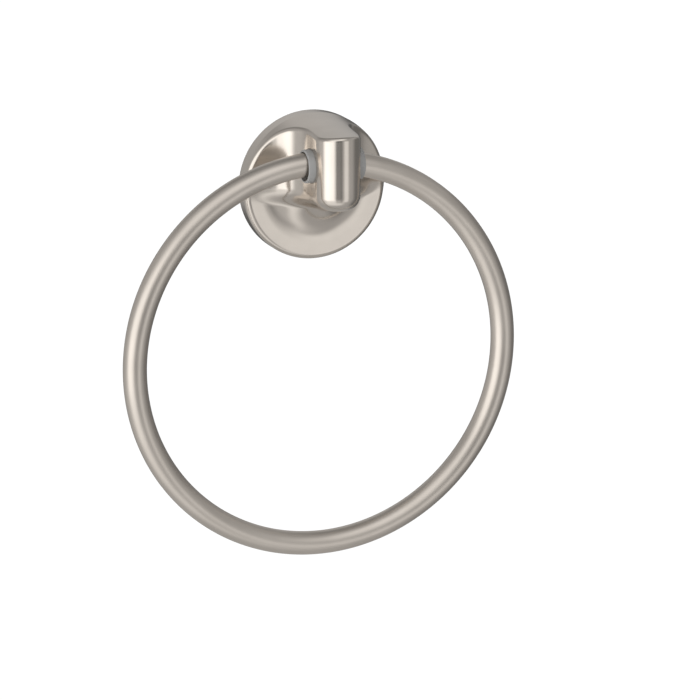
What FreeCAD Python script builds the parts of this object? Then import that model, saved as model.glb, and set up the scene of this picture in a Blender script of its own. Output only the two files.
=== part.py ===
import FreeCAD, Part
import Sketcher
import os

# Towel ring: a cast post that carries a bent-tube ring in two plastic liners,
# held on a hidden wall bracket by a grub screw.
# Millimetres. X runs to the right, Y into the wall and Z up; the origin is the centre
# of the post's round back face, on the wall.

doc = FreeCAD.newDocument("towel_ring")

# Driving dimensions
sizes = {
    "flange_diameter": 59.4,
    "flange_wall": 4,
    "rim_height": 6.2,
    "shoulder_slope": 22,
    "rim_bevel": 2,
    "band_width": 4.4,
    "dish_depth": 23,
    "post_width": 18.3,
    "post_reach": 41.8,
    "post_drop": 4.3,
    "tip_height": 26,
    "underside_round": 6,
    "scoop_radius": 12,
    "neck_inset": 0.3,
    "overrun": 5,
    "overlap": 1,
    "post_wall": 3,
    "core_height": 19,
    "ring_diameter": 165,
    "tube_diameter": 9.5,
    "ring_standoff": 26.9,
    "pivot_height": 12.7,
    "ring_shift": 4.5,
    "liner_proud": 2.7,
    "liner_wall": 0.5,
    "collar_lip": 0.3,
    "collar_inset": 2.4,
    "collar_break": 0.3,
    "running_gap": 0.2,
    "fit_gap": 0.03,
    "bracket_width": 24,
    "bracket_thickness": 4.4,
    "bracket_gap": 1.7,
    "seat_gap": 0.2,
    "screw_spacing": 19,
    "screw_hole": 4.6,
    "countersink": 1.9,
    "hook_width": 16,
    "hook_thickness": 2.4,
    "boss_width": 8,
    "grub_diameter": 4,
    "grub_length": 8,
    "grub_socket": 2,
    "grub_centre": 3,
    "grub_break": 0.3,
}

sheet = doc.addObject("Spreadsheet::Sheet", "Sizes")
for row, (alias, value) in enumerate(sizes.items(), start=1):
    sheet.set(f"A{row}", alias.replace("_", " "))
    sheet.set(f"B{row}", str(value))
    sheet.setAlias(f"B{row}", alias)
doc.recompute()

# Lengths worked out from the driving dimensions
flange_radius = "(Sizes.flange_diameter / 2)"
half_width = "(Sizes.post_width / 2)"
nose_axis = f"(Sizes.post_reach - {half_width})"
outside = f"({flange_radius} + Sizes.overrun)"
neck_radius = "(Sizes.post_drop - Sizes.neck_inset)"
band_depth = "(Sizes.rim_height + Sizes.rim_bevel)"
band_edge = f"({flange_radius} - Sizes.rim_bevel)"
dish_edge = f"({band_edge} - Sizes.band_width)"
dish_rise = f"(Sizes.dish_depth - {band_depth})"
dish_radius = f"((({dish_edge} - {neck_radius})^2 + {dish_rise}^2) / (2 * {dish_rise}))"
cavity_radius = f"({flange_radius} - Sizes.flange_wall)"
cavity_depth = "(Sizes.bracket_thickness + Sizes.seat_gap)"
ring_radius = "((Sizes.ring_diameter - Sizes.tube_diameter) / 2)"
liner_end = f"({half_width} + Sizes.liner_proud)"
tube_sag = f"({ring_radius} - sqrt({ring_radius}^2 - ({liner_end} + Sizes.ring_shift)^2))"
liner_bore = f"(Sizes.tube_diameter / 2 + {tube_sag} / 2 + Sizes.running_gap)"
sleeve_radius = f"({liner_bore} + Sizes.liner_wall)"
collar_radius = f"({sleeve_radius} + Sizes.collar_lip)"
collar_seat = f"({half_width} - Sizes.collar_inset)"
bracket_half = (
    f"sqrt(({cavity_radius} - Sizes.bracket_gap)^2 - (Sizes.bracket_width / 2)^2)"
)
bracket_back = f"({bracket_half} - Sizes.bracket_thickness)"
grub_tip = f"({bracket_back} + Sizes.grub_centre + Sizes.fit_gap)"


def number(expression):
    # value of an expression on the sheet
    return float(sheet.evalExpression(expression))


def origin_item(body, role):
    return next(item for item in body.Origin.OriginFeatures if item.Role == role)


def new_body(label):
    body = doc.addObject("PartDesign::Body", label)
    body.Label = label
    return body


def new_sketch(body, name, plane):
    sketch = body.newObject("Sketcher::SketchObject", name)
    sketch.AttachmentSupport = [(origin_item(body, plane), "")]
    sketch.MapMode = "FlatFace"
    return sketch


def pin(sketch, item, place, corner):
    # hold one point of a sketch at the two expressions of a corner
    for kind, expression, axis in zip(("DistanceX", "DistanceY"), corner, (-2, -1)):
        if expression == "0":
            sketch.addConstraint(Sketcher.Constraint("PointOnObject", item, place, axis))
        else:
            distance = Sketcher.Constraint(kind, -1, 1, item, place, number(expression))
            tie = sketch.addConstraint(distance)
            sketch.setExpression(f"Constraints[{tie}]", expression)


def bind_radius(sketch, item, radius):
    tie = sketch.addConstraint(Sketcher.Constraint("Radius", item, number(radius)))
    sketch.setExpression(f"Constraints[{tie}]", radius)


def outline(body, name, plane, corners, arcs=None):
    # closed outline through corners given as expressions; arcs maps the number of a
    # side to its radius and to 1 or -1, the hand to which it swells
    sketch = new_sketch(body, name, plane)
    arcs = arcs or {}
    points = [FreeCAD.Vector(number(u), number(v), 0) for u, v in corners]
    ends = []
    for side, start in enumerate(points):
        stop = points[(side + 1) % len(points)]
        if side in arcs:
            radius, hand = arcs[side]
            half_chord = (stop - start).Length / 2
            rise = number(radius) - (number(radius) ** 2 - half_chord**2) ** 0.5
            along = (stop - start).normalize()
            across = FreeCAD.Vector(-along.y, along.x, 0)
            middle = (start + stop) * 0.5 + across * rise * hand
            item = sketch.addGeometry(Part.Arc(start, middle, stop), False)
            bind_radius(sketch, item, radius)
        else:
            item = sketch.addGeometry(Part.LineSegment(start, stop), False)
        forward = (sketch.getPoint(item, 1) - start).Length < 1e-6
        ends.append((item, 1, 2) if forward else (item, 2, 1))
    for side, (item, first, last) in enumerate(ends):
        following, entry, _ = ends[(side + 1) % len(ends)]
        sketch.addConstraint(Sketcher.Constraint("Coincident", item, last, following, entry))
        pin(sketch, item, first, corners[side])
    doc.recompute()
    return sketch


def circles(body, name, plane, places, radius, offset=""):
    # circles of one radius at places given as expressions, on a plane or offset from it
    sketch = new_sketch(body, name, plane)
    if offset:
        sketch.setExpression("AttachmentOffset.Base.z", offset)
    for place in places:
        centre = FreeCAD.Vector(number(place[0]), number(place[1]), 0)
        round_item = Part.Circle(centre, FreeCAD.Vector(0, 0, 1), number(radius))
        item = sketch.addGeometry(round_item, False)
        bind_radius(sketch, item, radius)
        pin(sketch, item, 3, place)
    doc.recompute()
    return sketch


def turned(body, kind, name, sketch, axis):
    # full turn of a sketch about one of the body's own axes
    feature = body.newObject(f"PartDesign::{kind}", name)
    feature.Profile = sketch
    feature.ReferenceAxis = (origin_item(body, axis), [""])
    feature.Angle = 360
    sketch.Visibility = False
    doc.recompute()
    return feature


def pushed(body, kind, name, sketch, length, second="", middle=False, reverse=False):
    # pad or pocket: to one side, by two lengths, or evenly to both sides
    feature = body.newObject(f"PartDesign::{kind}", name)
    feature.Profile = sketch
    feature.Reversed = reverse
    feature.setExpression("Length", length)
    if middle:
        feature.SideType = "Symmetric"
    if second:
        feature.SideType = "Two sides"
        feature.setExpression("Length2", second)
    sketch.Visibility = False
    doc.recompute()
    return feature


def edges_where(shape, test):
    return [f"Edge{i}" for i, edge in enumerate(shape.Edges, start=1) if test(edge)]


def eased(body, name, base, edges, size, kind="Fillet"):
    # fillet or chamfer on named edges of the feature before it
    feature = body.newObject(f"PartDesign::{kind}", name)
    feature.Base = (base, edges)
    feature.setExpression("Radius" if kind == "Fillet" else "Size", size)
    doc.recompute()
    return feature


# The cast post
def add_block(body):
    # upright block: shoulders rise from the rim and sweep into a tongue with a round nose
    slope = "Sizes.shoulder_slope"
    sweep_x = f"({half_width} + Sizes.scoop_radius * (1 - sin({slope})))"
    sweep_y = f"(Sizes.rim_height + ({flange_radius} - {sweep_x}) * tan({slope}))"
    side_y = f"({sweep_y} + Sizes.scoop_radius * cos({slope}))"
    outside_y = f"(Sizes.rim_height - ({outside} - {flange_radius}) * tan({slope}))"
    right = [
        (half_width, f"-{nose_axis}"),
        (half_width, f"-{side_y}"),
        (sweep_x, f"-{sweep_y}"),
        (outside, f"-{outside_y}"),
        (outside, "0"),
    ]
    left = [(f"-{across}", depth) for across, depth in reversed(right)]
    block_outline = outline(
        body,
        "block_outline",
        "XY_Plane",
        [*left, ("0", "-Sizes.post_reach"), *right],
        {
            2: ("Sizes.scoop_radius", 1),
            4: (half_width, -1),
            5: (half_width, -1),
            7: ("Sizes.scoop_radius", 1),
        },
    )
    block = pushed(body, "Pad", "block", block_outline, outside, "Sizes.post_drop")

    def on_lower_edge(edge):
        box = edge.BoundBox
        level = box.ZLength < 0.001 and box.ZMin < 0
        at_back = box.YMin > -0.001
        at_side = box.XLength < 0.001 and abs(box.XMin) > number(outside) - 0.001
        return level and not at_back and not at_side

    lower = edges_where(block.Shape, on_lower_edge)
    eased(body, "underside", block, lower, "Sizes.underside_round")


def add_base(body):
    # round base: a bevelled rim, a flat band, then a dish that leaves the band level and
    # sweeps up to the underside of the post
    base_outline = outline(
        body,
        "base_outline",
        "YZ_Plane",
        [
            ("0", "0"),
            ("0", f"({flange_radius} + Sizes.rim_height)"),
            (f"-{band_depth}", band_edge),
            (f"-{band_depth}", dish_edge),
            ("-Sizes.dish_depth", neck_radius),
            ("-Sizes.dish_depth", "0"),
        ],
        {3: (dish_radius, 1)},
    )
    turned(body, "Revolution", "base", base_outline, "Y_Axis")


def trim_outside(body):
    # outer form: a cylinder at the rim that narrows from there to the tip of the post
    beyond = "(Sizes.post_reach + Sizes.overrun)"
    narrowing = (
        f"(({flange_radius} - Sizes.tip_height) / (Sizes.post_reach - Sizes.rim_height))"
    )
    waste_radius = f"({outside} * 2)"
    waste_outline = outline(
        body,
        "waste_outline",
        "YZ_Plane",
        [
            ("Sizes.overrun", flange_radius),
            ("-Sizes.rim_height", flange_radius),
            (f"-{beyond}", f"(Sizes.tip_height - Sizes.overrun * {narrowing})"),
            (f"-{beyond}", waste_radius),
            ("Sizes.overrun", waste_radius),
        ],
    )
    turned(body, "Groove", "outer_form", waste_outline, "Y_Axis")


def hollow_back(body):
    # room for the wall bracket, and a core that goes on into the tongue
    room = circles(body, "bracket_room_outline", "XZ_Plane", [("0", "0")], cavity_radius)
    pushed(body, "Pocket", "bracket_room", room, cavity_depth, reverse=True)
    core_side = f"({half_width} - Sizes.post_wall)"
    core_outline = outline(
        body,
        "core_outline",
        "XZ_Plane",
        [
            (f"-{core_side}", "0"),
            (core_side, "0"),
            (core_side, "Sizes.core_height"),
            (f"-{core_side}", "Sizes.core_height"),
        ],
    )
    core_depth = f"(Sizes.ring_standoff - {sleeve_radius} - Sizes.post_wall)"
    pushed(body, "Pocket", "core", core_outline, core_depth, reverse=True)

    # the hook behind the bracket's upper edge
    hook_outline = outline(
        body,
        "hook_outline",
        "YZ_Plane",
        [
            ("-Sizes.seat_gap", f"({bracket_back} + Sizes.seat_gap * 2)"),
            ("-Sizes.hook_thickness", f"({bracket_back} + Sizes.hook_thickness + Sizes.seat_gap)"),
            ("-Sizes.hook_thickness", f"({cavity_radius} + Sizes.overlap)"),
            ("-Sizes.seat_gap", f"({cavity_radius} + Sizes.overlap)"),
        ],
    )
    pushed(body, "Pad", "hook", hook_outline, "Sizes.hook_width", middle=True)

    # the boss that gives the grub screw its thread
    boss_side = "(Sizes.boss_width / 2)"
    boss_outline = outline(
        body,
        "boss_outline",
        "XZ_Plane",
        [
            (f"-{boss_side}", f"-({cavity_radius} + Sizes.overlap)"),
            (boss_side, f"-({cavity_radius} + Sizes.overlap)"),
            (boss_side, f"-({bracket_half} + Sizes.seat_gap)"),
            (f"-{boss_side}", f"-({bracket_half} + Sizes.seat_gap)"),
        ],
    )
    pushed(body, "Pad", "boss", boss_outline, f"({cavity_depth} + Sizes.overlap)")


def bore_post(body):
    # the bore for the liners with its counterbores, and the grub screw's hole
    place = [("-Sizes.ring_standoff", "Sizes.pivot_height")]
    bore = circles(body, "bore_outline", "YZ_Plane", place, f"({sleeve_radius} + Sizes.fit_gap)")
    pushed(body, "Pocket", "bore", bore, "Sizes.post_width * 2", middle=True)
    seat_radius = f"({collar_radius} + Sizes.fit_gap)"
    for side, level in (("right", collar_seat), ("left", f"-{collar_seat}")):
        seat = circles(body, f"{side}_seat_outline", "YZ_Plane", place, seat_radius, level)
        outward = side == "right"
        pushed(body, "Pocket", f"{side}_seat", seat, half_width, reverse=outward)
    thread_place = [("0", "-Sizes.grub_centre")]
    thread = circles(body, "thread_outline", "XY_Plane", thread_place, "(Sizes.grub_diameter / 2)")
    pushed(body, "Pocket", "thread", thread, outside)


def make_post():
    body = new_body("post")
    add_block(body)
    add_base(body)
    trim_outside(body)
    hollow_back(body)
    bore_post(body)
    return body


# The ring, closed through the post
def make_ring():
    ring = doc.addObject("Part::Torus", "ring")
    ring.Label = "ring"
    ring.setExpression("Radius1", ring_radius)
    ring.setExpression("Radius2", "Sizes.tube_diameter / 2")
    ring.Placement = FreeCAD.Placement(
        FreeCAD.Vector(0, 0, 0), FreeCAD.Rotation(FreeCAD.Vector(1, 0, 0), 90)
    )
    ring.setExpression("Placement.Base.x", "-Sizes.ring_shift")
    ring.setExpression("Placement.Base.y", "-Sizes.ring_standoff")
    ring.setExpression(
        "Placement.Base.z", f"Sizes.pivot_height - {ring_radius} + {tube_sag} / 2"
    )
    return ring


# A liner: sleeve and collar, drawn about its own axis
def make_liner(label, turn):
    body = new_body(label)
    liner_outline = outline(
        body,
        f"{label}_outline",
        "XY_Plane",
        [
            ("Sizes.fit_gap", liner_bore),
            (liner_end, liner_bore),
            (liner_end, collar_radius),
            (collar_seat, collar_radius),
            (collar_seat, sleeve_radius),
            ("Sizes.fit_gap", sleeve_radius),
        ],
    )
    sleeve = turned(body, "Revolution", f"{label}_sleeve", liner_outline, "X_Axis")

    def on_outer_rim(edge):
        box = edge.BoundBox
        at_end = box.XLength < 0.001 and box.XMin > number(liner_end) - 0.001
        return at_end and box.ZMax > number(sleeve_radius)

    rim = edges_where(sleeve.Shape, on_outer_rim)
    eased(body, f"{label}_rim", sleeve, rim, "Sizes.collar_break", kind="Chamfer")
    body.Placement = FreeCAD.Placement(
        FreeCAD.Vector(0, 0, 0), FreeCAD.Rotation(FreeCAD.Vector(0, 0, 1), turn)
    )
    body.setExpression("Placement.Base.y", "-Sizes.ring_standoff")
    body.setExpression("Placement.Base.z", "Sizes.pivot_height")
    return body


# The wall bracket: a plate with dovetail edges above and below and two countersunk holes
def make_bracket():
    body = new_body("wall_bracket")
    plate_outline = outline(
        body,
        "plate_outline",
        "YZ_Plane",
        [
            ("0", f"-{bracket_back}"),
            ("0", bracket_back),
            ("-Sizes.bracket_thickness", bracket_half),
            ("-Sizes.bracket_thickness", f"-{bracket_half}"),
        ],
    )
    pushed(body, "Pad", "plate", plate_outline, "Sizes.bracket_width", middle=True)
    half_spacing = "Sizes.screw_spacing / 2"
    places = [("0", half_spacing), ("0", f"-{half_spacing}")]
    holes = circles(body, "holes_outline", "XZ_Plane", places, "(Sizes.screw_hole / 2)")
    drilled = pushed(
        body, "Pocket", "holes", holes, "Sizes.bracket_thickness * 2", reverse=True
    )

    def on_front_rim(edge):
        flat = edge.BoundBox.YLength < 0.001
        in_front = edge.BoundBox.YMin < -number("Sizes.bracket_thickness") + 0.001
        return edge.Curve.TypeId == "Part::GeomCircle" and flat and in_front

    rims = edges_where(drilled.Shape, on_front_rim)
    eased(body, "countersinks", drilled, rims, "Sizes.countersink", kind="Chamfer")
    return body


# The grub screw: cone point upwards, hexagon socket in its lower end
def make_grub():
    body = new_body("grub_screw")
    radius = "(Sizes.grub_diameter / 2 - Sizes.fit_gap)"
    grub_outline = outline(
        body,
        "grub_outline",
        "XZ_Plane",
        [
            ("0", "0"),
            ("0", "-Sizes.grub_length"),
            (f"({radius} - Sizes.grub_break)", "-Sizes.grub_length"),
            (radius, "-Sizes.grub_length + Sizes.grub_break"),
            (radius, f"-{radius}"),
        ],
    )
    turned(body, "Revolution", "grub_blank", grub_outline, "Z_Axis")
    reach = "(Sizes.grub_socket / sqrt(3))"
    across = "(Sizes.grub_socket / 2)"
    corners = [
        (reach, "0"),
        (f"{reach} / 2", across),
        (f"-{reach} / 2", across),
        (f"-{reach}", "0"),
        (f"-{reach} / 2", f"-{across}"),
        (f"{reach} / 2", f"-{across}"),
    ]
    hexagon = outline(body, "socket_outline", "XY_Plane", corners)
    hexagon.setExpression("AttachmentOffset.Base.z", "-Sizes.grub_length")
    doc.recompute()
    pushed(body, "Pocket", "socket", hexagon, "Sizes.grub_socket", reverse=True)
    body.setExpression("Placement.Base.y", "-Sizes.grub_centre")
    body.setExpression("Placement.Base.z", f"-{grub_tip}")
    return body


parts = [
    make_post(),
    make_ring(),
    make_liner("liner_right", 0),
    make_liner("liner_left", 180),
    make_bracket(),
    make_grub(),
]
doc.recompute()

for item in doc.Objects:
    if "Invalid" in item.State or "Error" in item.State:
        raise RuntimeError(f"{item.Name} failed: {item.getStatusString()}")
for part in parts:
    if part.Shape.isNull() or not part.Shape.isValid():
        raise RuntimeError(f"{part.Label} has no valid shape")

os.makedirs("parts", exist_ok=True)
for part in parts:
    part.Shape.exportStep(f"parts/{part.Label}.step")
    box = part.Shape.BoundBox
    print(part.Label, round(part.Shape.Volume), box, len(part.Shape.Solids))
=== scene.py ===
import math

import bpy
import numpy as np
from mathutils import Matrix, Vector


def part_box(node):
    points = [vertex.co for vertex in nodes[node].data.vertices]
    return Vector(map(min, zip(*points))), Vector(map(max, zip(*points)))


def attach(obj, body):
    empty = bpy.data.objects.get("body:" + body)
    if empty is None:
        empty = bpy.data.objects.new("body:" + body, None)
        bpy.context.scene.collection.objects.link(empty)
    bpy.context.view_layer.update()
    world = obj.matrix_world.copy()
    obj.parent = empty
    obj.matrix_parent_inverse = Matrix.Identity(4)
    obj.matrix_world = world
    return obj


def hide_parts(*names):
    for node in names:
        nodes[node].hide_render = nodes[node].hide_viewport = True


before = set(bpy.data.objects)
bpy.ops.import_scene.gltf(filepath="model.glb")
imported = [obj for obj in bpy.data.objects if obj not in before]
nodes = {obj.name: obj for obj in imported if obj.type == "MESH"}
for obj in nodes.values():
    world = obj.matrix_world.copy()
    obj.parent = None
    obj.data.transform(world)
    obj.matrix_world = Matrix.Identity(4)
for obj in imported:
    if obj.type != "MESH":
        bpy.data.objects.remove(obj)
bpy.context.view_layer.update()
mm = 0.001
tiny = 1e-9
print("frame loaded")


# shader maths as expressions on sockets
class Value:
    def __init__(self, graph, socket):
        self.graph = graph
        self.socket = socket

    def maths(self, operation, *others):
        values = dict(enumerate((self, *others)))
        return self.graph.node("ShaderNodeMath", {"operation": operation}, values)

    def __add__(self, other):
        return self.maths("ADD", other)

    __radd__ = __add__

    def __mul__(self, other):
        return self.maths("MULTIPLY", other)

    __rmul__ = __mul__

    def __sub__(self, other):
        return self.maths("SUBTRACT", other)

    def __rsub__(self, other):
        return self.graph.number(other).maths("SUBTRACT", self)

    def __truediv__(self, other):
        return self.maths("DIVIDE", other)

    def __pow__(self, other):
        return self.maths("POWER", other)

    def between(self, low, high):  # 0 at low, 1 at high, eased
        values = {"Value": self, "From Min": low, "From Max": high}
        return self.graph.node("ShaderNodeMapRange", {"interpolation_type": "SMOOTHSTEP"}, values)


class Graph:
    def __init__(self, owner):
        owner.use_nodes = True
        self.tree = owner.node_tree
        self.tree.nodes.clear()

    def node(self, kind, settings=None, values=None, out=0):
        made = self.tree.nodes.new(kind)
        for name, setting in (settings or {}).items():
            setattr(made, name, setting)
        for name, value in (values or {}).items():
            self.feed(made.inputs[name], value)
        return None if out is None else Value(self, made.outputs[out])

    def feed(self, socket, value):
        if isinstance(value, Value):
            self.tree.links.new(value.socket, socket)
        else:
            socket.default_value = value

    def number(self, value):
        made = self.tree.nodes.new("ShaderNodeValue")
        made.outputs[0].default_value = value
        return Value(self, made.outputs[0])

    def blend(self, factor, first, second):  # colours
        values = {"Factor": factor, 6: first, 7: second}
        return self.node("ShaderNodeMix", {"data_type": "RGBA"}, values, out=2)

    def place(self, scale=(1, 1, 1), shift=(0, 0, 0)):  # object coordinates, scaled
        here = self.node("ShaderNodeTexCoord", out="Object")
        return self.node("ShaderNodeMapping", {}, {"Vector": here, "Scale": scale, "Location": shift})

    def noise(self, where, scale, detail=3, roughness=0.5):
        values = {"Vector": where, "Scale": scale, "Detail": detail, "Roughness": roughness}
        return self.node("ShaderNodeTexNoise", {}, values, out="Fac")

    def bump(self, height, distance):
        return self.node("ShaderNodeBump", {}, {"Height": height, "Distance": distance})

    def surface(self, **sockets):
        values = {name.replace("_", " "): value for name, value in sockets.items()}
        shader = self.node("ShaderNodeBsdfPrincipled", {}, values)
        self.node("ShaderNodeOutputMaterial", {}, {"Surface": shader}, out=None)


# finishes; scales are in features per metre, bumps in mm
nickel = {
    "light": (0.745, 0.683, 0.616, 1),
    "shade": (0.695, 0.637, 0.574, 1),
    "cloudSpan": (0.3, 0.7),
    "mottle": 0.04,
    "brush": 0.04,
}
castNickel = {
    "rough": 0.17,
    "cloud": 70,
    "grain": 2600,
    "hairs": (5200, 5200, 260),
    "hairShare": 0.6,
    "rub": 0.03,
    "bump": 0.002,
}
tubeNickel = {"rough": 0.36, "cloud": 60, "hairs": 2600, "drift": 14, "bump": 0.0012}


def nickelLook(graph, finish, hairs):
    # tone and roughness, clouded a little and streaked by the polishing lines
    cloud = graph.noise(graph.place(), finish["cloud"], detail=2)
    tone = graph.blend(cloud.between(*nickel["cloudSpan"]), nickel["shade"], nickel["light"])
    rough = (cloud - 0.5) * nickel["mottle"] + (hairs - 0.5) * nickel["brush"] + finish["rough"]
    return tone, rough


def satinCasting():
    material = bpy.data.materials.new("satinCasting")
    graph = Graph(material)
    s = castNickel
    grain = graph.noise(graph.place(), s["grain"], detail=2, roughness=0.6)
    hairs = graph.noise(graph.place(s["hairs"]), 1, detail=2)
    edge = graph.node("ShaderNodeAttribute", {"attribute_name": "edgeRub"}, out="Fac")
    tone, rough = nickelLook(graph, s, hairs)
    relief = hairs * s["hairShare"] + grain * (1 - s["hairShare"])
    graph.surface(
        Base_Color=tone,
        Metallic=1.0,
        Roughness=rough - edge * s["rub"],
        Normal=graph.bump(relief, s["bump"] * mm),
    )
    return material


def satinTube(centre):
    material = bpy.data.materials.new("satinTube")
    graph = Graph(material)
    s = tubeNickel
    # polishing lines run along the tube: fast across its section, slow round the ring
    here = graph.place(shift=tuple(-value for value in centre))
    x, y, z = (graph.node("ShaderNodeSeparateXYZ", {}, {"Vector": here}, out=name) for name in "XYZ")
    spread = (x * x + z * z) ** 0.5
    values = {"X": spread * s["hairs"], "Y": y * s["hairs"], "Z": x / spread * s["drift"]}
    hairs = graph.noise(graph.node("ShaderNodeCombineXYZ", {}, values), 1, detail=2)
    tone, rough = nickelLook(graph, s, hairs)
    graph.surface(
        Base_Color=tone, Metallic=1.0, Roughness=rough, Normal=graph.bump(hairs, s["bump"] * mm)
    )
    return material


nylon = {
    "dark": (0.38, 0.38, 0.375, 1),
    "light": (0.48, 0.48, 0.475, 1),
    "cloud": 300,
    "grain": 4000,
    "rough": 0.42,
    "roughGrain": 0.08,
    "bump": 0.01,
}


def linerPlastic():
    material = bpy.data.materials.new("linerPlastic")
    graph = Graph(material)
    s = nylon
    cloud = graph.noise(graph.place(), s["cloud"])
    grain = graph.noise(graph.place(), s["grain"])
    graph.surface(
        Base_Color=graph.blend(cloud, s["dark"], s["light"]),
        Roughness=s["rough"] + grain * s["roughGrain"],
        Normal=graph.bump(grain, s["bump"] * mm),
    )
    return material


zinc = {
    "dark": (0.50, 0.51, 0.52, 1),
    "light": (0.66, 0.67, 0.68, 1),
    "spangle": 420,
    "grain": 1800,
    "rough": 0.34,
    "roughSpangle": 0.1,
    "roughGrain": 0.06,
    "bump": 0.02,
}


def zincPlate():
    material = bpy.data.materials.new("zincPlate")
    graph = Graph(material)
    s = zinc
    values = {"Vector": graph.place(), "Scale": s["spangle"]}
    spangle = graph.node("ShaderNodeTexVoronoi", {}, values, out="Color")
    tone = graph.node("ShaderNodeRGBToBW", {}, {"Color": spangle})
    grain = graph.noise(graph.place(), s["grain"])
    graph.surface(
        Base_Color=graph.blend(tone, s["dark"], s["light"]),
        Metallic=1.0,
        Roughness=s["rough"] + tone * s["roughSpangle"] + grain * s["roughGrain"],
        Normal=graph.bump(grain, s["bump"] * mm),
    )
    return material


screw = {
    "dark": (0.05, 0.05, 0.055, 1),
    "light": (0.12, 0.115, 0.11, 1),
    "pitch": 0.7,
    "oil": 900,
    "rough": 0.38,
    "roughOil": 0.12,
    "bump": 0.25,
}


def screwSteel():
    material = bpy.data.materials.new("screwSteel")
    graph = Graph(material)
    s = screw
    # the thread's fine turns; at a scale of pi / 10 the wave has one turn in each unit
    turns = graph.node(
        "ShaderNodeTexWave",
        {"bands_direction": "Z", "wave_profile": "TRI"},
        {"Vector": graph.place((1 / (s["pitch"] * mm),) * 3), "Scale": math.pi / 10},
        out="Fac",
    )
    oil = graph.noise(graph.place(), s["oil"])
    graph.surface(
        Base_Color=graph.blend(oil, s["dark"], s["light"]),
        Metallic=1.0,
        Roughness=s["rough"] + oil * s["roughOil"],
        Normal=graph.bump(turns, s["bump"] * mm),
    )
    return material


# post casting, its form written as a distance in mm: below 0 is metal
def postSizes():
    low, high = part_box("post")
    linerLow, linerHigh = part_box("liner_right")
    baseRadius = high.z / mm
    halfWidth = 9.15
    wall = 3.0
    rimWall = 4.0
    fitGap = 0.03
    seatStep = 0.3
    seatLength = 2.4
    bore = (linerLow + linerHigh) / (2 * mm)
    seatRadius = (linerHigh.z - linerLow.z) / (2 * mm) + fitGap
    boreRadius = seatRadius - seatStep
    return {
        "baseRadius": baseRadius,
        "rimDepth": 6.2,
        "slope": 24.5,
        "rimRound": 2.0,
        "bandWidth": 4.4,
        "dishEnd": (4.0, 23.0),  # radius and depth where the dish meets the tongue
        "halfWidth": halfWidth,
        "reach": -low.y / mm,
        "tipHeight": 26.0,
        "drop": 4.3,
        "scoop": 14.0,
        "flare": (0.8, 28.0, 12.0),  # how much wider, from what depth, over what depth
        "underRound": 6.0,
        "neckRound": 3.0,
        "edgeRound": 1.2,
        "roundChange": 3.0,  # over this the edge's round goes over into the rim's
        "backRound": 0.3,
        "boreAt": (-bore.y, bore.z),
        "boreRadius": boreRadius,
        "seatRadius": seatRadius,
        "seatFrom": halfWidth - seatLength,
        "roomRadius": baseRadius - rimWall,
        "roomDepth": 4.6,
        "core": (halfWidth - wall, 19.0, -bore.y - boreRadius - wall + fitGap),  # side, top, depth
        "hook": (8.0, 16.8, 0.2, 2.4),  # side, underside, near and far face
        "boss": (4.0, 21.0, 5.6),  # side, top below the axis, depth
        "overrun": 1.0,  # how far these run on where nothing limits them
        "screwRadius": 2.0,
        "screwDepth": 3.0,
        "cell": 0.4,
        "rubReach": 0.6,
        "rubGain": 1.6,
    }


post = postSizes()


def joined(a, b, radius, lean=0.0):
    # union whose inner corner is filled to a radius; lean is the cosine between the faces
    fromA, fromB = a - radius, b - radius
    alongA = -(fromA - lean * fromB) / (1 - lean**2)
    alongB = -(fromB - lean * fromA) / (1 - lean**2)
    corner = (alongA > 0) & (alongB > 0)
    far = np.sqrt(np.maximum(alongA**2 + alongB**2 + 2 * lean * alongA * alongB, 0))
    return np.where(corner, radius - far, np.minimum(a, b))


def met(a, b, radius):  # what both hold, with the edge between them rounded
    return -joined(-a, -b, radius)


def eased(value):  # 0 to 1, level at both ends
    value = np.clip(value, 0, 1)
    return value * value * (3 - 2 * value)


def boxed(*spans):  # distance to a box; each span is a coordinate with its two ends
    return np.max([np.maximum(low - value, value - high) for value, low, high in spans], axis=0)


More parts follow.
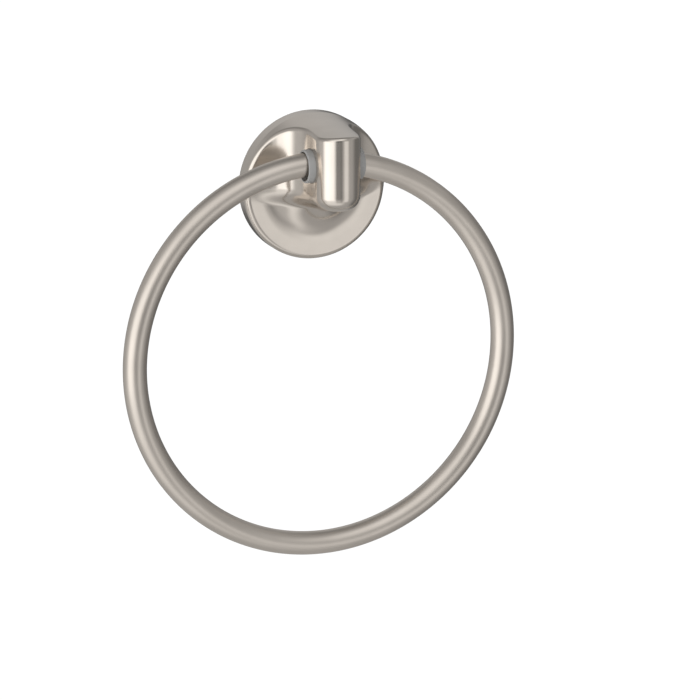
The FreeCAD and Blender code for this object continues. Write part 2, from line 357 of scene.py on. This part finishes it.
def castingDistance(x, y, z):
    s = post
    depth = -y
    across = np.abs(x)
    out = np.hypot(x, z)
    tilt = math.radians(s["slope"])
    taper = math.atan((s["baseRadius"] - s["tipHeight"]) / (s["reach"] - s["rimDepth"]))

    # plan of the block: a tongue with a round nose, a little wider towards the base,
    # and shoulders swept into its sides
    noseAxis = s["reach"] - s["halfWidth"]
    flare, flareFrom, flareOver = s["flare"]
    tongue = np.hypot(across, np.maximum(depth - noseAxis, 0)) - s["halfWidth"]
    tongue = tongue - flare * eased((flareFrom - depth) / flareOver)
    rise = depth - s["rimDepth"] - (s["baseRadius"] - across) * math.tan(tilt)
    plan = joined(tongue, rise * math.cos(tilt), s["scoop"], math.sin(tilt))
    block = met(plan, -s["drop"] - z, s["underRound"])

    # round base: a flat band and a dish that leaves it level and sweeps up to the neck
    bandDepth = s["rimDepth"] + s["rimRound"]
    bandEdge = s["baseRadius"] - s["rimRound"] - s["bandWidth"]
    neckOut, neckDepth = s["dishEnd"]
    dishRise = neckDepth - bandDepth
    dishRadius = ((bandEdge - neckOut) ** 2 + dishRise**2) / (2 * dishRise)
    dish = dishRadius - np.hypot(out - bandEdge, depth - bandDepth - dishRadius)
    base = np.where(out > bandEdge, depth - bandDepth, dish)
    base = np.maximum(base, depth - neckDepth)

    # both together inside the outer form, a cylinder that narrows from the rim to the tip
    body = joined(block, base, s["neckRound"])
    cone = (out - s["baseRadius"]) * math.cos(taper) + (depth - s["rimDepth"]) * math.sin(taper)
    outer = np.maximum(out - s["baseRadius"], cone)
    onBase = eased((block - base) / s["roundChange"] + 0.5)
    body = met(body, outer, s["edgeRound"] + (s["rimRound"] - s["edgeRound"]) * onBase)
    body = met(body, -depth, s["backRound"])

    # room for the wall bracket, core, hook and screw boss
    room = np.maximum(out - s["roomRadius"], depth - s["roomDepth"])
    past = s["roomRadius"] + s["overrun"]
    coreSide, coreTop, coreDepth = s["core"]
    core = boxed((across, 0, coreSide), (z, 0, coreTop), (depth, -s["overrun"], coreDepth))
    body = met(body, -room, s["backRound"])
    body = met(body, -core, s["backRound"])
    hookSide, hookFrom, hookNear, hookFar = s["hook"]
    hook = boxed((across, 0, hookSide), (z, hookFrom, past), (depth, hookNear, hookFar))
    hook = np.maximum(hook, (hookFrom - hookNear + depth - z) * math.sqrt(0.5))
    bossSide, bossFrom, bossDepth = s["boss"]
    boss = boxed((across, 0, bossSide), (-z, bossFrom, past), (depth, 0, bossDepth))
    body = np.minimum(body, np.minimum(hook, boss))
    thread = np.maximum(np.hypot(x, depth - s["screwDepth"]) - s["screwRadius"], z)
    body = np.maximum(body, -thread)

    # bore for the ring and the seats of its liners
    fromBore = np.hypot(depth - s["boreAt"][0], z - s["boreAt"][1])
    bore = np.minimum(
        fromBore - s["boreRadius"], np.maximum(fromBore - s["seatRadius"], s["seatFrom"] - across)
    )
    return met(body, -bore, s["backRound"])


def netSurface(distance, low, high, cell):
    # mesh of the skin where a distance crosses 0: one corner in each cell that it crosses
    counts = [int(math.ceil((b - a) / cell)) + 1 for a, b in zip(low, high)]
    axes = [a + np.arange(count) * cell for a, count in zip(low, counts)]
    solid = distance(*np.meshgrid(*axes, indexing="ij")) < 0
    cells = [count - 1 for count in counts]
    quads = []
    for axis in range(3):
        side, other = [i for i in range(3) if i != axis]
        near = solid.take(range(cells[axis]), axis)
        far = solid.take(range(1, counts[axis]), axis)
        places = np.argwhere(near != far)
        inner = (places[:, side] > 0) & (places[:, other] > 0)
        inner &= (places[:, side] < counts[side] - 1) & (places[:, other] < counts[other] - 1)
        places = places[inner]
        rising = near[tuple(places.T)]
        corners = []
        for stepSide, stepOther in ((0, 0), (-1, 0), (-1, -1), (0, -1)):
            corner = places.copy()
            corner[:, side] += stepSide
            corner[:, other] += stepOther
            corners.append(np.ravel_multi_index(tuple(corner.T), cells))
        loops = np.stack(corners, 1)
        flip = rising if axis == 1 else ~rising
        loops[flip] = loops[flip][:, ::-1]
        quads.append(loops)
    quads = np.concatenate(quads)
    used, quads = np.unique(quads, return_inverse=True)
    quads = quads.reshape(-1, 4)
    start = np.stack(np.unravel_index(used, cells), 1)
    points = np.array(low) + (start + 0.5) * cell
    return points, quads


def slopeOf(distance, points, step=0.02):
    slope = np.empty_like(points)
    for axis in range(3):
        shift = np.zeros(3)
        shift[axis] = step
        ahead, behind = points + shift, points - shift
        slope[:, axis] = (distance(*ahead.T) - distance(*behind.T)) / (2 * step)
    return slope


def settle(distance, points, quads, cell, rounds=7, lastRounds=2, ease=0.6, flattest=0.25):
    # even the corners out along the skin and put them exactly on it, all that the last rounds do
    pairs = np.concatenate([quads[:, [i, (i + 1) % 4]] for i in range(4)])
    for turn in range(rounds):
        total = np.zeros_like(points)
        count = np.zeros(len(points))
        for a, b in ((0, 1), (1, 0)):
            np.add.at(total, pairs[:, a], points[pairs[:, b]])
            np.add.at(count, pairs[:, a], 1)
        if turn < rounds - lastRounds:
            points = points + (total / count[:, None] - points) * ease
        slope = slopeOf(distance, points)
        steep = np.maximum((slope**2).sum(1), flattest)
        move = slope * (distance(*points.T) / steep)[:, None]
        reach = np.linalg.norm(move, axis=1)
        move *= np.minimum(1, cell / np.maximum(reach, tiny))[:, None]
        points = points - move
    return points


def makePost():
    s = post
    margin = s["cell"] * 2
    low = (-s["baseRadius"] - margin, -s["reach"] - margin, -s["baseRadius"] - margin)
    high = (s["baseRadius"] + margin, margin, s["baseRadius"] + margin)
    points, quads = netSurface(castingDistance, low, high, s["cell"])
    points = settle(castingDistance, points, quads, s["cell"])
    mesh = bpy.data.meshes.new("postCasting")
    mesh.from_pydata((points * mm).tolist(), [], quads.tolist())
    mesh.shade_smooth()
    # how sharply the skin turns outwards, for the rub along its edges
    step = s["rubReach"]
    normal = slopeOf(castingDistance, points)
    normal /= np.maximum(np.linalg.norm(normal, axis=1), tiny)[:, None]
    inner = castingDistance(*(points - normal * step).T)
    rub = np.clip((inner + step) / step * s["rubGain"], 0, 1)
    mesh.attributes.new("edgeRub", "FLOAT", "POINT").data.foreach_set("value", rub.astype(np.float32))
    made = bpy.data.objects.new("postCasting", mesh)
    bpy.context.scene.collection.objects.link(made)
    made.data.materials.append(satinCasting())
    print("post casting:", len(quads), "faces")
    return made


# ring, a round bar bent to a circle, grown by geometry nodes
def ringSizes():
    low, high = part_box("ring")
    barRadius = (high.y - low.y) / 2
    return {
        "centre": (low + high) / 2,
        "ringRadius": (high.x - low.x) / 2 - barRadius,
        "barRadius": barRadius,
        "roundSteps": 320,
        "barSteps": 48,
    }


def ringTree(material):
    tree = bpy.data.node_groups.new("bentRing", "GeometryNodeTree")
    face = tree.interface
    for name, kind in (
        ("Ring Radius", "NodeSocketFloat"),
        ("Bar Radius", "NodeSocketFloat"),
        ("Round Steps", "NodeSocketInt"),
        ("Bar Steps", "NodeSocketInt"),
        ("Centre", "NodeSocketVector"),
    ):
        face.new_socket(name, in_out="INPUT", socket_type=kind)
    face.new_socket("Geometry", in_out="OUTPUT", socket_type="NodeSocketGeometry")
    made = {}
    for name, kind in (
        ("input", "NodeGroupInput"),
        ("path", "GeometryNodeCurvePrimitiveCircle"),
        ("section", "GeometryNodeCurvePrimitiveCircle"),
        ("sweep", "GeometryNodeCurveToMesh"),
        ("place", "GeometryNodeTransform"),
        ("smooth", "GeometryNodeSetShadeSmooth"),
        ("realize", "GeometryNodeRealizeInstances"),
        ("finish", "GeometryNodeSetMaterial"),
        ("output", "NodeGroupOutput"),
    ):
        made[name] = tree.nodes.new(kind)
    made["finish"].inputs["Material"].default_value = material
    made["place"].inputs["Rotation"].default_value = (math.pi / 2, 0, 0)
    for start, out, end, into in (
        ("input", "Ring Radius", "path", "Radius"),
        ("input", "Round Steps", "path", "Resolution"),
        ("input", "Bar Radius", "section", "Radius"),
        ("input", "Bar Steps", "section", "Resolution"),
        ("path", "Curve", "sweep", "Curve"),
        ("section", "Curve", "sweep", "Profile Curve"),
        ("sweep", "Mesh", "place", "Geometry"),
        ("input", "Centre", "place", "Translation"),
        ("place", "Geometry", "smooth", "Geometry"),
        ("smooth", "Geometry", "realize", "Geometry"),
        ("realize", "Geometry", "finish", "Geometry"),
        ("finish", "Geometry", "output", "Geometry"),
    ):
        tree.links.new(made[start].outputs[out], made[end].inputs[into])
    return tree


def makeRing():
    s = ringSizes()
    tree = ringTree(satinTube(s["centre"]))
    made = bpy.data.objects.new("bentRing", bpy.data.meshes.new("bentRing"))
    bpy.context.scene.collection.objects.link(made)
    grown = made.modifiers.new("grown", "NODES")
    grown.node_group = tree
    wanted = {
        "Ring Radius": s["ringRadius"],
        "Bar Radius": s["barRadius"],
        "Round Steps": s["roundSteps"],
        "Bar Steps": s["barSteps"],
        "Centre": s["centre"],
    }
    for item in tree.interface.items_tree:
        if item.in_out == "INPUT":
            grown[item.identifier] = wanted[item.name]
    graph = bpy.context.evaluated_depsgraph_get()
    graph.update()
    made.data = bpy.data.meshes.new_from_object(made.evaluated_get(graph))
    made.modifiers.clear()
    print("ring:", len(made.data.polygons), "faces")
    return made


def finishNode(name, material):
    mesh = nodes[name].data
    mesh.materials.clear()
    mesh.materials.append(material)


postCasting = makePost()
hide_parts("post")
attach(postCasting, "mounted_post")

bentRing = makeRing()
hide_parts("ring")
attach(bentRing, "swinging_ring")

plastic = linerPlastic()
finishNode("liner_left", plastic)
finishNode("liner_right", plastic)
finishNode("wall_bracket", zincPlate())
finishNode("grub_screw", screwSteel())
print("finishes done")


# floor, light and camera
studio = {
    "floorLevel": -2.4,
    "coveRadius": 7.0,
    "coveTop": 6.0,
    "coveRound": 1.5,
    "coveSteps": 6,
    "roundSteps": 48,
    "white": 1.05,
    "fill": 0.43,
}

# soft panels round the object, in degrees: bearing from the front to the right and height,
# then half width and half height, and how wide each pair of edges fades; a glow below 0 is a flag
panels = {
    "leftBox": {"at": (-61, 0), "size": (29, 21), "fade": (18, 20), "glow": 0.94},
    "leftLow": {"at": (-38, -38), "size": (38, 22), "fade": (30, 25), "glow": 0.50},
    "farLeft": {"at": (-93, -16), "size": (30, 25), "fade": (30, 30), "glow": 0.14},
    "rightStrip": {"at": (26, -17), "size": (11, 15), "fade": (10, 10), "glow": 0.47},
    "frontTop": {"at": (-25, 42), "size": (34, 22), "fade": (34, 20), "glow": 0.52},
    "rightTop": {"at": (54, 51), "size": (36, 25), "fade": (30, 24), "glow": 0.19},
    "frontGap": {"at": (-10, -19), "size": (15, 23), "fade": (8, 14), "glow": -0.38},
    "rightFlag": {"at": (100, -15), "size": (30, 37), "fade": (28, 24), "glow": -0.25},
    "rearTop": {"at": (130, 75), "size": (62, 17), "fade": (40, 18), "glow": -0.22},
    "rearLow": {"at": (114, 48), "size": (28, 16), "fade": (22, 18), "glow": -0.16},
    "edgeFlag": {"at": (161, -14), "size": (29, 20), "fade": (16, 12), "glow": -0.32},
    "rearCap": {"at": (176, 31), "size": (32, 14), "fade": (24, 14), "glow": 0.09},
}


def makeFloor():
    # white floor that curves up all round into a cove; only the camera sees it
    s = studio
    line = [(0.0, s["floorLevel"])]
    for i in range(s["coveSteps"] + 1):
        turn = math.pi / 2 * i / s["coveSteps"]
        out = s["coveRadius"] + s["coveRound"] * (math.sin(turn) - 1)
        line.append((out, s["floorLevel"] + s["coveRound"] * (1 - math.cos(turn))))
    line += [(s["coveRadius"], s["coveTop"]), (0.0, s["coveTop"])]
    steps = s["roundSteps"]
    corners, faces = [], []
    for out, level in line:
        for i in range(steps):
            turn = math.tau * i / steps
            corners.append((out * math.cos(turn), out * math.sin(turn), level))
    for row in range(len(line) - 1):
        for i in range(steps):
            near, far = row * steps, (row + 1) * steps
            faces.append((near + i, near + (i + 1) % steps, far + (i + 1) % steps, far + i))
    mesh = bpy.data.meshes.new("floor")
    mesh.from_pydata(corners, [], faces)
    material = bpy.data.materials.new("paleFloor")
    graph = Graph(material)
    graph.surface(
        Base_Color=(0, 0, 0, 1),
        Specular_IOR_Level=0.0,
        Emission_Color=(1, 1, 1, 1),
        Emission_Strength=s["white"],
    )
    mesh.materials.append(material)
    floor = bpy.data.objects.new("floor", mesh)
    bpy.context.scene.collection.objects.link(floor)
    floor.visible_diffuse = False
    floor.visible_glossy = False
    floor.visible_transmission = False
    floor.visible_shadow = False


def panelShape(graph, way, panel):
    # 1 inside a panel and 0 past its soft edges, by direction
    bearing, height = (math.radians(value) for value in panel["at"])
    level = Vector((math.sin(bearing), -math.cos(bearing), 0)) * math.cos(height)
    ahead = level + Vector((0, 0, math.sin(height)))
    side = Vector((math.cos(bearing), math.sin(bearing), 0))

    def along(axis):
        values = {0: way, 1: axis}
        return graph.node("ShaderNodeVectorMath", {"operation": "DOT_PRODUCT"}, values, out="Value")

    across = along(side).maths("ARCTAN2", along(ahead))
    upwards = along(ahead.cross(side)).maths("ARCSINE")
    shape = 1
    for angle, half, fade in zip((across, upwards), panel["size"], panel["fade"]):
        near, far = math.radians(half - fade / 2), math.radians(half + fade / 2)
        shape = angle.maths("ABSOLUTE").between(far, near) * shape
    return shape


def makeSky():
    world = bpy.data.worlds.new("studio")
    bpy.context.scene.world = world
    graph = Graph(world)
    way = graph.node("ShaderNodeTexCoord", out="Generated")
    light = studio["fill"]
    for panel in panels.values():
        light = panelShape(graph, way, panel) * panel["glow"] + light
    sky = graph.node("ShaderNodeBackground", {}, {"Color": (1, 1, 1, 1), "Strength": light})
    graph.node("ShaderNodeOutputWorld", {}, {"Surface": sky}, out=None)


# degrees and metres; focus is in pixels of a picture this wide
view = {
    "turn": 20.73,
    "height": 14.755,
    "distance": 1.570,
    "target": (0.0177, 0.0, -0.0709),
    "focus": 3869.0,
    "picture": 700.0,
    "sensor": 36.0,
}


def makeCamera():
    turn, height = math.radians(view["turn"]), math.radians(view["height"])
    forward = Vector(
        (math.sin(turn) * math.cos(height), math.cos(turn) * math.cos(height), -math.sin(height))
    )
    data = bpy.data.cameras.new("camera")
    data.sensor_width = view["sensor"]
    data.lens = view["focus"] / view["picture"] * data.sensor_width
    camera = bpy.data.objects.new("camera", data)
    camera.location = Vector(view["target"]) - forward * view["distance"]
    camera.rotation_euler = forward.to_track_quat("-Z", "Y").to_euler()
    bpy.context.scene.collection.objects.link(camera)
    bpy.context.scene.camera = camera


makeFloor()
makeSky()
makeCamera()
bpy.context.scene.view_settings.view_transform = "Standard"
print("studio done")
